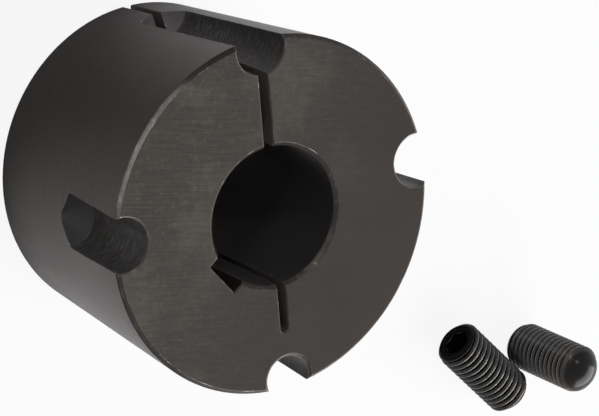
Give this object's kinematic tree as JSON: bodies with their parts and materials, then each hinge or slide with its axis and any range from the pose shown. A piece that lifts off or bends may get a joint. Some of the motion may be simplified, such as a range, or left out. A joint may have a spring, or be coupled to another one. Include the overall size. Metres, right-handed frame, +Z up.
{
  "type": "taper lock bushing",
  "caption": "Split taper bushing with a keyed bore and half-holes for its screws, standing on its small end, with its loose set screws beside it.",
  "frame": {"origin": "on the bore's axis in the plane of the small end's face, which the bushing stands on", "axes": "+Z up along the bore to the large end, +Y through the split in the wall"},
  "size_m": [0.2016, 0.1724, 0.0762],
  "materials": {
    "blackened_iron": "machined all over and blackened, satin",
    "black_oxide_steel": "black oxide, slightly glossy"
  },
  "bodies": {
    "root": {"bushing": "blackened_iron", "set_screw_left": "black_oxide_steel", "set_screw_right": "black_oxide_steel"}
  },
  "joints": []
}
